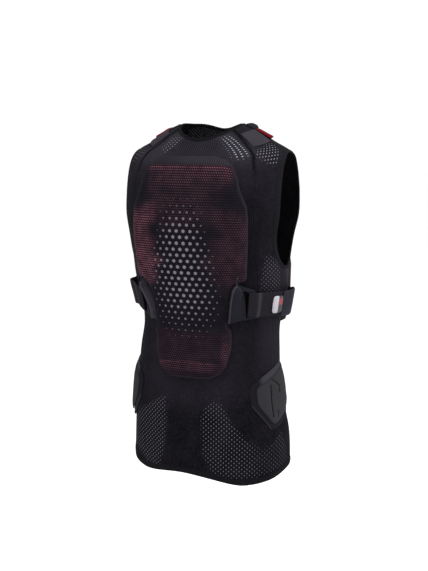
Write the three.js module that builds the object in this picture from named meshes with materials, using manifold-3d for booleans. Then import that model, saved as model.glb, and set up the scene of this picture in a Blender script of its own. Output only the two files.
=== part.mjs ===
// Sleeveless body protection vest: a hollow knit body with foam pads on its outside.
// Millimetres, +Z up. The front faces -Y, the back +Y and the wearer's right -X.
// The origin is the middle of the neck opening, level with the shoulders beside the neck.
// A place on the body is an angle, 0 at the middle of the back and 90 at the wearer's right,
// and a level, which runs up the rows of SECTIONS.

import * as THREE from "three";
import { mergeVertices } from "three/addons/utils/BufferGeometryUtils.js";
import Module from "manifold-3d";

const wasm = await Module();
wasm.setup();

const WALL = 2.2; // knit cloth
const SEAM = 0.5; // between cloth pieces sewn edge to edge
const REST = 2.1; // between the cloth and a pad that lies on it

const BINDING = { width: 8, proud: 0.7 };
const HEM = { bottom: -671, band: 11, middle: 12, side: 32, tilt: 11 };
const ARMHOLE = { top: -40, bottom: -256, half: 50 };

const BACK_PAD = { gap: REST, thick: 19, edge: 11, bevel: 20, lean: 4.5 };
const CHEST_PAD = { gap: 2.9, thick: 16, edge: 11, bevel: 16, lean: 0 };
const WING = { top: -286, topEnd: -298, bottom: -359, bottomEnd: -350, reach: 119, lip: 22, end: 7 };
// How far its strap pulls the top of a wing outward, and the furthest that its inner edge goes.
const WING_PULL = { right: 0, left: 15, limit: 99 };
const SLOT = { from: 102, to: 107.5, top: -299.5, bottom: -348.5 };
const STRAP = { middle: -324, height: 45, thick: 2.2 };
const STRAP_STANCE = { right: { lift: 0, bulge: 0 }, left: { lift: 10, bulge: 2.8 } };
const STRAP_END = { from: { right: 78, left: 92 }, to: 110, height: 48, thick: 2.4, gap: 0.9 };
const PULL_TAB = { length: 10.5, height: 30, thick: 3.2, gap: 0.6 };
const HIP = { angle: 81, height: -506, flange: 11, flangeThick: 1.8, thick: 3.6, corner: 8 };

// Rows of the body from the hem to the neck. side, back and front are the heights of the row there,
// half is its half width, back_depth and front_depth are measured from the axis, sway is a shift to the
// wearer's left, and seam is the angle of the seam between the back and the side panel.
const COLUMNS = ["side", "back", "front", "half", "back_depth", "front_depth", "sway", "seam"];
const SECTIONS = [
  [-700, -700, -700, 161.5, 112, 106, 0.5, 60],
  [-640, -640, -640, 162.5, 112, 106, 1.5, 60],
  [-580, -580, -580, 160.5, 107, 104, 2.5, 60],
  [-520, -520, -520, 153, 96, 101, 7.5, 60],
  [-465, -465, -465, 148, 88, 97, 8, 59],
  [-420, -420, -420, 144.5, 89, 95, 6, 58],
  [-375, -375, -375, 140.5, 94, 96, 2, 57],
  [-330, -330, -330, 147.5, 99, 101, 0.5, 55],
  [-285, -285, -285, 157, 104, 106, 3, 52],
  [-240, -240, -240, 161.5, 110.5, 112, 4, 50],
  [-200, -200, -200, 169, 116, 117, 3, 49],
  [-160, -160, -160, 178.5, 119, 120, 1, 47],
  [-120, -120, -120, 179, 118, 119, 0, 45.7],
  [-88, -88, -88, 177, 110, 111, 0, 44.3],
  [-64, -64, -64, 173, 99, 102, 0, 43.2],
  [-46, -48, -46, 166, 87, 91, -1, 42.5],
  [-34, -40, -36, 152, 78, 81, -1, 42.7],
  [-23, -33, -25, 131, 72, 74, -1, 44.6],
  [-11, -27, -15, 110, 68, 69, -1, 47.6],
  [-1, -22, -8, 92, 65, 65, 0, 51.4],
  [6, -18, -1, 76, 63, 62, 0, 55.3],
  [13, -15, 4, 61, 61, 59, 0, 59],
];
const NECK = SECTIONS.length - 1;

// Outlines of the two large pads: height and half width.
const BACK_OUTLINE = [
  [-51, 52],
  [-57, 71],
  [-66, 84],
  [-85, 94],
  [-110, 101],
  [-140, 113.5],
  [-166, 116],
  [-205, 115],
  [-245, 112],
  [-273, 109.5],
  [-280, 106.5],
  [-284, 91],
  [-290, 86],
  [-300, 81.5],
  [-320, 76.5],
  [-342, 73.5],
  [-365, 71],
  [-374, 76],
  [-415, 75],
  [-446, 68],
  [-462, 57],
  [-472, 38],
];
const CHEST_OUTLINE = [
  [-92, 55],
  [-98, 72],
  [-110, 84],
  [-150, 104],
  [-200, 119],
  [-258, 135],
  [-305, 135],
  [-348, 133],
  [-368, 126],
  [-380, 105],
  [-388, 65],
];

// Route of a strap out of the wing's slot and round to the chest pad: sideways place of the inner and the
// outer face at the slot, then angle; both with the distance of that face from the cloth.
const STRAP_AT_SLOT = [
  { inner: 106.4, innerOff: 3.2, outer: 104, outerOff: 3.2 },
  { inner: 106.4, innerOff: 8.6, outer: 104, outerOff: 9.6 },
  { inner: 108.5, innerOff: 9, outer: 106.5, outerOff: 11.3 },
  { inner: 113, innerOff: 9, outer: 113, outerOff: 11.3 },
];
const STRAP_ROUND = [
  { angle: 56, off: 9.5 },
  { angle: 62, off: 10 },
  { angle: 68, off: 10 },
  { angle: 76, off: 10 },
  { angle: 84, off: 10.5 },
  { angle: 92, off: 11 },
  { angle: 99, off: 11 },
  { angle: 103.5, off: 10.5 },
  { angle: 107, off: 9 },
  { angle: 109.5, off: 6 },
  { angle: 111.5, off: 3 },
];

// Corners of the hip pad's core, sideways and up from its middle.
const HIP_CORNERS = [
  [-46, 17],
  [-46, -16],
  [-22, -55],
  [46, -17],
  [46, 16],
  [20, 55],
];

// The three trims of each shoulder: angle and half width of the row at their four corners.
const PATCH = { innerBack: [57, 89], innerTop: [88, 88], outerTop: [81, 126], outerBack: [49, 139] };
const FLAP = { innerBack: [93, 70], innerTop: [126, 74], outerTop: [124, 92], outerBack: [93, 91] };
const TAB = { innerBack: [90, 93], innerTop: [110, 93], outerTop: [108, 119], outerBack: [90, 119] };
const PATCH_THICK = 1.6;
const FLAP_THICK = { right: 6, left: 3 };
const TAB_THICK = { right: 2.8, left: 4 };
const TAB_LIFT = 1;
const TAB_TILT = { right: 0.6, left: 3.6 };

const COLOURS = {
  knit: 0x22222a,
  trim: 0x141417,
  edge: 0x3b3b40,
  foam: 0x40242c,
  pad: 0x37373a,
  webbing: 0x1c1b1e,
  grey: 0xc4c5cc,
  red: 0xb3262c,
};

const radians = THREE.MathUtils.degToRad;
const lerp = THREE.MathUtils.lerp;
const smooth = THREE.MathUtils.smoothstep;

// A column of SECTIONS at a level between rows, by a Catmull-Rom curve.
function column(name, level) {
  const k = COLUMNS.indexOf(name);
  const i = Math.min(Math.max(Math.floor(level), 0), NECK - 1);
  const row = (n) => SECTIONS[Math.min(Math.max(n, 0), NECK)][k];
  const [a, b, c, d] = [row(i - 1), row(i), row(i + 1), row(i + 2)];
  const t = level - i;
  const bend = 2 * a - 5 * b + 4 * c - d + t * (3 * (b - c) + d - a);
  return b + 0.5 * t * (c - a + t * bend);
}

function place(angle, level) {
  const f = radians(angle);
  const [side, back, front] = ["side", "back", "front"].map((name) => column(name, level));
  const behind = Math.cos(f) > 0;
  const height = side + (behind ? (back - side) * Math.cos(f) ** 1.6 : (front - side) * Math.cos(f) ** 10);
  const depth = column(behind ? "back_depth" : "front_depth", level);
  const x = column("sway", level) - column("half", level) * Math.sin(f);
  return new THREE.Vector3(x, depth * Math.cos(f), height);
}

function skin(angle, level, off = 0) {
  const step = 0.02;
  const across = place(angle + 1, level).sub(place(angle - 1, level));
  const up = place(angle, Math.min(level + step, NECK)).sub(place(angle, level - step));
  return place(angle, level).addScaledVector(across.cross(up).normalize(), off);
}

// The level at which a rising measure reaches a value.
function levelWhere(measure, value, low = 0, high = NECK) {
  for (let n = 0; n < 40; n += 1) {
    const middle = (low + high) / 2;
    if (measure(middle) < value) low = middle;
    else high = middle;
  }
  return (low + high) / 2;
}

const levelAtHeight = (z) => levelWhere((level) => column("side", level), z);
const levelAtHalf = (half) => levelWhere((level) => -column("half", level), -half, 13);

// Length up the wearer's side, from the lowest row.
const LENGTHS = [0];
const FINE = 12;
for (let n = 1; n <= NECK * FINE; n += 1) {
  LENGTHS.push(LENGTHS[n - 1] + place(90, n / FINE).distanceTo(place(90, (n - 1) / FINE)));
}
function lengthAt(level) {
  const n = Math.min(Math.floor(level * FINE), NECK * FINE - 1);
  return lerp(LENGTHS[n], LENGTHS[n + 1], level * FINE - n);
}
const levelAtLength = (length) => levelWhere(lengthAt, length);

function hemLevel(angle, above) {
  const turn = Math.abs(((angle + 540) % 360) - 180);
  const middle = HEM.middle * (1 - smooth(turn, 0, 42));
  const side = HEM.side * smooth(turn, 36, 108);
  const tilt = -HEM.tilt * Math.sin(radians(angle));
  return levelAtHeight(HEM.bottom + 5 + middle + side + tilt + above);
}

function levelBelowNeck(angle, distance) {
  const rim = place(angle, NECK);
  return levelWhere((level) => -rim.distanceTo(place(angle, level)), -distance, NECK - 6);
}

// The armhole's edge, widened by grow: angle and level for a turn round it.
const ARM_LOW = lengthAt(levelAtHeight(ARMHOLE.bottom));
const ARM_HIGH = lengthAt(levelAtHeight(ARMHOLE.top));
function armholeEdge(turn, grow) {
  const up = (ARM_HIGH - ARM_LOW) / 2 + grow;
  const level = levelAtLength((ARM_HIGH + ARM_LOW) / 2 + up * Math.sin(turn));
  const y = (ARMHOLE.half + grow) * Math.cos(turn);
  const depth = column(y > 0 ? "back_depth" : "front_depth", level);
  return [THREE.MathUtils.radToDeg(Math.acos(y / depth)), level];
}

// The angle at a distance sideways from the middle of the back or the front.
const backAngle = (x, level) => THREE.MathUtils.radToDeg(Math.asin(x / column("half", level)));
const frontAngle = (x, level) => 180 - backAngle(x, level);

function outlineAt(outline, z) {
  const n = outline.findIndex((row, k) => k > 0 && z >= row[0] - 1e-6);
  const [a, b] = [outline[n - 1], outline[n]];
  return lerp(a[1], b[1], (z - a[0]) / (b[0] - a[0]));
}

// A closed surface, turned so that its faces look outwards.
function closed(points, faces) {
  const geometry = new THREE.BufferGeometry();
  let volume = 0;
  for (const [a, b, c] of faces) {
    volume += points[a].dot(new THREE.Vector3().crossVectors(points[b], points[c]));
  }
  const order = volume > 0 ? faces : faces.map(([a, b, c]) => [a, c, b]);
  const numbers = points.flatMap((p) => p.toArray());
  geometry.setAttribute("position", new THREE.Float32BufferAttribute(numbers, 3));
  geometry.setIndex(order.flat());
  return geometry;
}

// A slab: point gives the place for row, column and face, 1 outside and 0 inside.
function slab(rows, columns, point) {
  const points = [];
  const faces = [];
  const at = (face, i, j) => face * (rows + 1) * (columns + 1) + i * (columns + 1) + j;
  for (const face of [0, 1]) {
    for (let i = 0; i <= rows; i += 1) {
      for (let j = 0; j <= columns; j += 1) points.push(point(i / rows, j / columns, face));
    }
  }
  const quad = (a, b, c, d) => faces.push([a, b, c], [a, c, d]);
  for (let i = 0; i < rows; i += 1) {
    for (let j = 0; j < columns; j += 1) {
      quad(at(1, i, j), at(1, i, j + 1), at(1, i + 1, j + 1), at(1, i + 1, j));
      quad(at(0, i, j), at(0, i + 1, j), at(0, i + 1, j + 1), at(0, i, j + 1));
    }
    quad(at(1, i, 0), at(1, i + 1, 0), at(0, i + 1, 0), at(0, i, 0));
    quad(at(1, i + 1, columns), at(1, i, columns), at(0, i, columns), at(0, i + 1, columns));
  }
  for (let j = 0; j < columns; j += 1) {
    quad(at(1, 0, j + 1), at(1, 0, j), at(0, 0, j), at(0, 0, j + 1));
    quad(at(1, rows, j), at(1, rows, j + 1), at(0, rows, j + 1), at(0, rows, j));
  }
  return closed(points, faces);
}

// A ring: section gives the corners of its cross section at a share of the way round.
function ring(steps, section) {
  const loops = Array.from({ length: steps }, (_, n) => section(n / steps));
  const size = loops[0].length;
  const faces = [];
  const at = (n, k) => (n % steps) * size + (k % size);
  for (let n = 0; n < steps; n += 1) {
    for (let k = 0; k < size; k += 1) {
      faces.push([at(n, k), at(n + 1, k), at(n + 1, k + 1)]);
      faces.push([at(n, k), at(n + 1, k + 1), at(n, k + 1)]);
    }
  }
  return closed(loops.flat(), faces);
}

// A disc of rings round a middle: point gives the place for share of the radius, step and face.
function disc(shares, steps, point) {
  const points = [];
  const faces = [];
  const each = 1 + shares.length * steps;
  const at = (face, r, n) => face * each + (r < 0 ? 0 : 1 + r * steps + (n % steps));
  for (const face of [0, 1]) {
    points.push(point(0, 0, face));
    for (const share of shares) {
      for (let n = 0; n < steps; n += 1) points.push(point(share, n, face));
    }
  }
  const last = shares.length - 1;
  for (let n = 0; n < steps; n += 1) {
    faces.push([at(1, -1), at(1, 0, n), at(1, 0, n + 1)], [at(0, -1), at(0, 0, n + 1), at(0, 0, n)]);
    for (let r = 0; r < last; r += 1) {
      faces.push([at(1, r, n), at(1, r + 1, n), at(1, r + 1, n + 1)]);
      faces.push([at(1, r, n), at(1, r + 1, n + 1), at(1, r, n + 1)]);
      faces.push([at(0, r, n), at(0, r + 1, n + 1), at(0, r + 1, n)]);
      faces.push([at(0, r, n), at(0, r, n + 1), at(0, r + 1, n + 1)]);
    }
    faces.push([at(1, last, n), at(0, last, n), at(0, last, n + 1)]);
    faces.push([at(1, last, n), at(0, last, n + 1), at(1, last, n + 1)]);
  }
  return closed(points, faces);
}

function solid(geometry) {
  const merged = mergeVertices(geometry, 1e-4);
  const vertProperties = new Float32Array(merged.attributes.position.array);
  const triVerts = new Uint32Array(merged.index.array);
  return new wasm.Manifold(new wasm.Mesh({ numProp: 3, vertProperties, triVerts }));
}

function cut(geometry, cutter) {
  const mesh = solid(geometry).subtract(solid(cutter)).getMesh();
  const result = new THREE.BufferGeometry();
  result.setAttribute("position", new THREE.BufferAttribute(new Float32Array(mesh.vertProperties), 3));
  result.setIndex(new THREE.BufferAttribute(new Uint32Array(mesh.triVerts), 1));
  return result;
}

const group = new THREE.Group();
group.name = "protective_vest";

function add(name, geometry, colour) {
  const material = new THREE.MeshStandardMaterial({ color: COLOURS[colour], roughness: 0.85 });
  const mesh = new THREE.Mesh(geometry, material);
  mesh.name = name;
  group.add(mesh);
}

// Cloth between two angles that follow the level, from above the hem band to below the neck binding.
// Its rows lie closer together towards the shoulders.
function panel(rows, columns, fromAngle, toAngle) {
  return slab(rows, columns, (share, u, face) => {
    const v = share + 0.12 * Math.sin(Math.PI * share);
    const rough = levelAtLength(lerp(lengthAt(levelAtHeight(HEM.bottom)), lengthAt(NECK), v));
    const gap = SEAM / 2 / place(70, rough).distanceTo(place(71, rough));
    const angle = lerp(fromAngle(rough) + gap, toAngle(rough) - gap, u);
    const low = lengthAt(hemLevel(angle, HEM.band + SEAM));
    const high = lengthAt(levelBelowNeck(angle, BINDING.width + 2 * SEAM));
    return skin(angle, levelAtLength(lerp(low, high, v)), face ? 0 : -WALL);
  });
}

// The corners of a flat edging between two places, each an angle and a level.
function edging(free, sewn) {
  const out = BINDING.proud;
  const deep = -WALL - BINDING.proud;
  const corners = [
    [free, deep],
    [free, out],
    [sewn, out],
    [sewn, deep],
  ];
  return corners.map(([[angle, level], off]) => skin(angle, level, off));
}

const SIDES = [
  ["right", 1],
  ["left", -1],
];
const seam = (level) => column("seam", level);
const beyond = (level) => 180 - seam(level);
add("back_panel", panel(24, 12, (level) => -seam(level), seam), "knit");
add("front_panel", panel(24, 12, beyond, (level) => 180 + seam(level)), "knit");

for (const [name, hand] of SIDES) {
  const start = hand > 0 ? seam : (level) => -beyond(level);
  const end = hand > 0 ? beyond : (level) => -seam(level);
  const middle = levelAtLength((ARM_HIGH + ARM_LOW) / 2);
  const hole = disc([0.5, 1], 40, (share, n, face) => {
    const [angle, level] = armholeEdge((n / 40) * 2 * Math.PI, BINDING.width + 2 * SEAM);
    return skin(hand * lerp(90, angle, share), lerp(middle, level, share), face ? 10 : -10);
  });
  add(`side_panel_${name}`, cut(panel(24, 8, start, end), hole), "knit");
  const section = (share) => {
    const places = [0, BINDING.width].map((grow) => armholeEdge(share * 2 * Math.PI, grow));
    const [free, sewn] = places.map(([angle, level]) => [hand * angle, level]);
    return edging(free, sewn);
  };
  add(`armhole_binding_${name}`, ring(40, section), "edge");
}

const neckSection = (share) => {
  const angle = share * 360;
  return edging([angle, NECK], [angle, levelBelowNeck(angle, BINDING.width)]);
};
add("neck_binding", ring(44, neckSection), "trim");

const hemSection = (share) => {
  const angle = share * 360;
  return edging([angle, hemLevel(angle, 0)], [angle, hemLevel(angle, HEM.band)]);
};
add("hem_band", ring(48, hemSection), "trim");

// Foam that thins towards its outline. Its rows are the outline's, with the tall ones divided, and its
// columns lie closer together towards the sides.
function pad(tallest, columns, outline, size, angleOf) {
  const [top, bottom] = [outline[0][0], outline[outline.length - 1][0]];
  const heights = [top];
  for (let n = 1; n < outline.length; n += 1) {
    const [a, b] = [outline[n - 1][0], outline[n][0]];
    const parts = Math.ceil((a - b) / tallest);
    for (let k = 1; k <= parts; k += 1) heights.push(lerp(a, b, k / parts));
  }
  return slab(heights.length - 1, columns, (v, u, face) => {
    const z = heights[Math.round(v * (heights.length - 1))];
    const level = levelAtHeight(z);
    const across = Math.sin(2 * u - 1) / Math.sin(1);
    const x = across * outlineAt(outline, z);
    const fromEdge = Math.min(outlineAt(outline, z) - Math.abs(x), top - z, z - bottom);
    const dome = Math.sqrt(smooth(fromEdge, -0.4 * size.bevel, size.bevel));
    const lean = size.lean * smooth(-z, 358, 400);
    return skin(angleOf(x + lean, level), level, size.gap + face * lerp(size.edge, size.thick, dome));
  });
}

add("back_protector", pad(35, 12, BACK_OUTLINE, BACK_PAD, backAngle), "foam");
add("chest_protector", pad(32, 12, CHEST_OUTLINE, CHEST_PAD, frontAngle), "foam");

for (const [name, hand] of SIDES) {
  const wing = slab(6, 6, (v, u, face) => {
    const inner = lerp(WING.top, WING.bottom, v);
    const outer = lerp(WING.topEnd, WING.bottomEnd, v);
    const z = lerp(inner, outer, u);
    const level = levelAtHeight(z);
    const pull = WING_PULL[name] * smooth(inner, -345, -288);
    const start = Math.min(outlineAt(BACK_OUTLINE, inner) + 1.6 + pull, WING_PULL.limit);
    const x = lerp(start, WING.reach, u);
    const edge = Math.min(v, 1 - v) < 0.01 || u < 0.01 ? 0.85 : 1;
    const top = edge * lerp(WING.lip, WING.end, smooth(x, start, Math.max(start + 9, 101)));
    return skin(hand * backAngle(x, level), level, face ? top : REST);
  });
  const slot = slab(4, 2, (v, u, face) => {
    const level = levelAtHeight(lerp(SLOT.top, SLOT.bottom, v));
    return skin(hand * backAngle(lerp(SLOT.from, SLOT.to, u), level), level, face ? 40 : -1);
  });
  add(`wing_${name}`, cut(wing, slot), "pad");

  const strapLevel = (height, v, angle) => {
    const lift = STRAP_STANCE[name].lift * smooth(angle, 47.5, 59);
    return levelAtHeight(STRAP.middle + lift + height * (0.5 - v));
  };
  const bulge = (angle) => STRAP_STANCE[name].bulge * smooth(angle, 52, 66) * (1 - smooth(angle, 82, 100));
  const stations = STRAP_AT_SLOT.length + STRAP_ROUND.length;
  const strap = slab(2, stations - 1, (v, u, face) => {
    const n = Math.round(u * (stations - 1));
    if (n < STRAP_AT_SLOT.length) {
      const row = STRAP_AT_SLOT[n];
      const level = strapLevel(STRAP.height, v, 0);
      const x = face ? row.outer : row.inner;
      return skin(hand * backAngle(x, level), level, face ? row.outerOff : row.innerOff);
    }
    const row = STRAP_ROUND[n - STRAP_AT_SLOT.length];
    const off = row.off + bulge(row.angle) + face * STRAP.thick;
    return skin(hand * row.angle, strapLevel(STRAP.height, v, row.angle), off);
  });
  add(`strap_${name}`, strap, "webbing");

  const overStrap = (part, angle) => {
    const rows = STRAP_ROUND;
    const n = Math.max(rows.findIndex((row) => row.angle >= angle), 1);
    const share = (angle - rows[n - 1].angle) / (rows[n].angle - rows[n - 1].angle);
    const ends = [rows[n - 1], rows[n]].map((row) => row.off + bulge(row.angle));
    return lerp(...ends, share) + STRAP.thick + part.gap;
  };
  const onStrap = (part, from, to) => slab(2, 8, (v, u, face) => {
    const angle = lerp(from, to, u);
    const off = overStrap(part, angle) + face * part.thick;
    return skin(hand * angle, strapLevel(part.height, v, angle), off);
  });
  const joint = STRAP_END.from[name];
  add(`strap_end_${name}`, onStrap(STRAP_END, joint, STRAP_END.to), "webbing");
  add(`pull_tab_${name}`, onStrap(PULL_TAB, joint - 0.5 - PULL_TAB.length, joint - 0.5), "grey");

  // Points round the hip pad's outline, with its corners rounded.
  const shape = new THREE.Shape();
  HIP_CORNERS.forEach((corner, n) => {
    const here = new THREE.Vector2(...corner);
    const before = new THREE.Vector2(...HIP_CORNERS[(n + 5) % 6]);
    const after = new THREE.Vector2(...HIP_CORNERS[(n + 1) % 6]);
    const arrive = here.clone().add(before.sub(here).setLength(HIP.corner));
    const leave = here.clone().add(after.sub(here).setLength(HIP.corner));
    if (n) shape.lineTo(arrive.x, arrive.y);
    else shape.moveTo(arrive.x, arrive.y);
    shape.quadraticCurveTo(here.x, here.y, leave.x, leave.y);
  });
  shape.closePath();
  const STEPS = 24;
  const outline = shape.getSpacedPoints(STEPS).slice(0, STEPS);
  const onHip = (point, off) => {
    const level = levelAtHeight(HIP.height + point.y);
    const perDegree = place(HIP.angle, level).distanceTo(place(HIP.angle - 30, level)) / 30;
    return skin(hand * (HIP.angle + point.x / perDegree), level, off);
  };
  const base = disc([0.35, 0.7, 1], STEPS, (share, n, face) => {
    const point = outline[n].clone().setLength(outline[n].length() + HIP.flange).multiplyScalar(share);
    return onHip(point, REST + 0.5 + face * HIP.flangeThick * (share < 1 ? 1 : 0.6));
  });
  add(`hip_base_${name}`, base, "pad");
  const core = disc([0.42, 0.82, 1], STEPS, (share, n, face) => {
    const under = REST + HIP.flangeThick + 1.2;
    return onHip(outline[n].clone().multiplyScalar(share), under + face * (share < 1 ? HIP.thick : 3));
  });
  add(`hip_core_${name}`, core, "pad");

  // Trims that lie on the shoulder.
  const low = REST + 0.8;
  const onShoulder = (corners, u, v, off) => {
    const mix = (k) => {
      const inner = lerp(corners.innerBack[k], corners.innerTop[k], u);
      const outer = lerp(corners.outerBack[k], corners.outerTop[k], u);
      return lerp(inner, outer, v);
    };
    return skin(hand * mix(0), levelAtHalf(mix(1)), off);
  };
  const patch = slab(4, 5, (v, u, face) => onShoulder(PATCH, u, v, low + face * PATCH_THICK));
  add(`shoulder_patch_${name}`, patch, "edge");
  const flap = slab(5, 6, (v, u, face) => {
    const rim = smooth(Math.min(u, 1 - u, v, 1 - v), -0.05, 0.3);
    return onShoulder(FLAP, u, v, low + face * FLAP_THICK[name] * lerp(0.3, 1, rim));
  });
  add(`shoulder_flap_${name}`, flap, "trim");
  const tab = slab(4, 3, (v, u, face) => {
    const under = REST + 0.4 + TAB_TILT[name] * u + TAB_LIFT * v * v;
    return onShoulder(TAB, u, v, under + face * TAB_THICK[name]);
  });
  add(`brace_tab_${name}`, tab, "red");
}

export default group;
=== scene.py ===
import math

import bpy
import numpy as np
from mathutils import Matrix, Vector


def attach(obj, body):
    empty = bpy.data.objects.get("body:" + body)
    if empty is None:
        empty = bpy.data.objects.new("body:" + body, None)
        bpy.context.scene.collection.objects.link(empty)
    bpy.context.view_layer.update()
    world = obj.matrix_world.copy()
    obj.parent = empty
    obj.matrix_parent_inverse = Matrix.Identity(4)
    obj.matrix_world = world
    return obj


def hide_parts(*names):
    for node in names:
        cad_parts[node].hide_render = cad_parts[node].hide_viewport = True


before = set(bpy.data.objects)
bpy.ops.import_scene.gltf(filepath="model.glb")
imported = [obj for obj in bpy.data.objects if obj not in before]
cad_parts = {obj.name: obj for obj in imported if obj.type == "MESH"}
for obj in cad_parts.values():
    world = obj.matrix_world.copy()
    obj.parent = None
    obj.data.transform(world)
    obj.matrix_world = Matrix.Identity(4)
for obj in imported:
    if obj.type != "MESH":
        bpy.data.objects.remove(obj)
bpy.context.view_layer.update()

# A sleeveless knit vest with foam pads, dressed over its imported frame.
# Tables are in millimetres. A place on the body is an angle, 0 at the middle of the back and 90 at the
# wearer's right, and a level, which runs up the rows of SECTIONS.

WALL = 2.2
REST = 2.1
BINDING = {"width": 8, "proud": 0.7}
HEM = {"bottom": -671, "rise": 5, "band": 11, "middle": 12, "side": 32, "tilt": 11}
ARMHOLE = {"top": -40, "bottom": -256, "half": 50}
BACK_PAD = {"gap": 2.1, "thick": 19, "edge": 11, "bevel": 20, "roll": 7, "lean": 4.5}
CHEST_PAD = {"gap": 2.9, "thick": 16, "edge": 11, "bevel": 16, "roll": 5, "lean": 0}
WING = {"top": -286, "topEnd": -298, "bottom": -359, "bottomEnd": -350, "reach": 119, "lip": 22, "end": 7}
WING_PULL = {"right": 0, "left": 15, "limit": 99}
SLOT = {"from": 102, "to": 107.5, "seam": 104.7}
WING_CREASE = [(92, -287), (96, -291), (98, -298), (97, -306), (93.5, -313)]
STRAP = {"middle": -324, "height": 45, "thick": 2.2}
STRAP_STANCE = {"right": {"lift": 0, "bulge": 0}, "left": {"lift": 10, "bulge": 2.8}}
STRAP_END = {"from": {"right": 78, "left": 92}, "to": 110, "height": 48, "thick": 2.4, "gap": 0.9}
PULL_TAB = {"length": 10.5, "height": 30, "thick": 3.2, "gap": 0.6}
HIP = {"angle": 81, "height": -506, "flange": 11, "flangeThick": 1.8, "corner": 8}

COLUMNS = "side back front half back_depth front_depth sway seam".split()
SECTIONS = np.array([
    [-700, -700, -700, 161.5, 112, 106, 0.5, 60],
    [-640, -640, -640, 162.5, 112, 106, 1.5, 60],
    [-580, -580, -580, 160.5, 107, 104, 2.5, 60],
    [-520, -520, -520, 153, 96, 101, 7.5, 60],
    [-465, -465, -465, 148, 88, 97, 8, 59],
    [-420, -420, -420, 144.5, 89, 95, 6, 58],
    [-375, -375, -375, 140.5, 94, 96, 2, 57],
    [-330, -330, -330, 147.5, 99, 101, 0.5, 55],
    [-285, -285, -285, 157, 104, 106, 3, 52],
    [-240, -240, -240, 161.5, 110.5, 112, 4, 50],
    [-200, -200, -200, 169, 116, 117, 3, 49],
    [-160, -160, -160, 178.5, 119, 120, 1, 47],
    [-120, -120, -120, 179, 118, 119, 0, 45.7],
    [-88, -88, -88, 177, 110, 111, 0, 44.3],
    [-64, -64, -64, 173, 99, 102, 0, 43.2],
    [-46, -48, -46, 166, 87, 91, -1, 42.5],
    [-34, -40, -36, 152, 78, 81, -1, 42.7],
    [-23, -33, -25, 131, 72, 74, -1, 44.6],
    [-11, -27, -15, 110, 68, 69, -1, 47.6],
    [-1, -22, -8, 92, 65, 65, 0, 51.4],
    [6, -18, -1, 76, 63, 62, 0, 55.3],
    [13, -15, 4, 61, 61, 59, 0, 59],
], float)
NECK = len(SECTIONS) - 1

# Outlines of the two large pads: height and half width.
BACK_OUTLINE = np.array([
    [-51, 52], [-57, 71], [-66, 84], [-85, 94], [-110, 101], [-140, 113.5], [-166, 116], [-205, 115],
    [-245, 112], [-273, 109.5], [-280, 106.5], [-284, 91], [-290, 86], [-300, 81.5], [-320, 76.5],
    [-342, 73.5], [-365, 71], [-374, 76], [-415, 75], [-446, 68], [-462, 57], [-472, 38],
], float)
CHEST_OUTLINE = np.array([
    [-92, 55], [-98, 72], [-110, 84], [-150, 104], [-200, 119], [-258, 135], [-305, 135], [-348, 133],
    [-368, 126], [-380, 105], [-388, 65],
], float)

# Middle line of a strap: sideways place at the slot, then angle, both with the distance from the cloth.
STRAP_AT_SLOT = [(105.2, 3.2), (105.2, 6.5), (105.6, 9.2), (107.5, 10.2), (113, 10.4)]
STRAP_ROUND = np.array([
    (56, 10.6), (62, 11.1), (68, 11.1), (76, 11.1), (84, 11.6), (92, 12.1), (99, 12.1), (103.5, 11.6),
    (107, 10.1), (109.5, 7.1), (111.5, 4.1),
])
HIP_CORNERS = np.array([[-46, 17], [-46, -16], [-22, -55], [46, -17], [46, 16], [20, 55]], float)

# The three trims of each shoulder: angle and half width of the row at their four corners.
PATCH = {"innerBack": (57, 89), "innerTop": (88, 88), "outerTop": (81, 126), "outerBack": (49, 139)}
FLAP = {"innerBack": (93, 70), "innerTop": (126, 74), "outerTop": (124, 92), "outerBack": (93, 91)}
TAB = {"innerBack": (90, 93), "innerTop": (110, 93), "outerTop": (108, 119), "outerBack": (90, 119)}
FLAP_THICK = {"right": 6, "left": 3}
TAB_THICK = {"right": 2.8, "left": 4}
TAB_LIFT = 1
TAB_TILT = {"right": 0.6, "left": 3.6}

# Grids of eyelets: distance along a row and between rows, slant of the rows, and shift from row to row.
LOW_GRID = (10.0, 4.1, 0, 0.5)
FLANK_GRID = (9.4, 3.95, 0, 0.5)
YOKE_GRID = (7.4, 9.0, -57.5, 0.64)
SHOULDER_GRID = (5.7, 7.6, 6, 0.0)
# Parts of the knit with open eyelets: corners as angle and height.
LOW_RIGHT = [
    (9, -546), (13, -522), (19.5, -511), (26.5, -517), (33, -549), (43, -581), (56, -603), (66, -592),
    (80, -574), (92, -615), (90, -640), (76, -647), (52.5, -660), (34.5, -661), (18, -652), (10, -615),
]
LOW_LEFT = [
    (-18.5, -506), (-16.5, -556), (-18.5, -616), (-23, -650), (-39, -647), (-58, -620), (-74, -600),
    (-70, -578), (-42.5, -535),
]
FLANK = [(59, -227), (66, -232), (75.5, -246), (81, -282), (82, -308), (54, -303), (56, -264)]
YOKE_RIGHT = [
    (34, 8), (48.5, 5), (42.4, -19), (41, -39), (39.5, -48), (34, -56), (26.5, -52), (24.5, -31), (26.5, -3),
]
YOKE_LEFT = [(-34.5, -31), (-38, -21), (-44, -2), (-36, 9), (-25, 6), (-21, -14), (-21.5, -33), (-25, -42)]
SHOULDER = [
    (43.6, -40), (49.5, -31), (65, -23), (76.5, -23), (76, -31), (67, -48), (63, -65), (57, -68), (50, -57),
    (43.6, -48),
]
FRONT_NECK = [(135, -40), (145, -80), (215, -80), (225, -40), (248, 10), (112, 10)]
FRONT_LOW = [(130, -440), (230, -440), (236, -600), (124, -600)]


def mirrored(corners):
    return [(-angle, z) for angle, z in corners]


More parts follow.
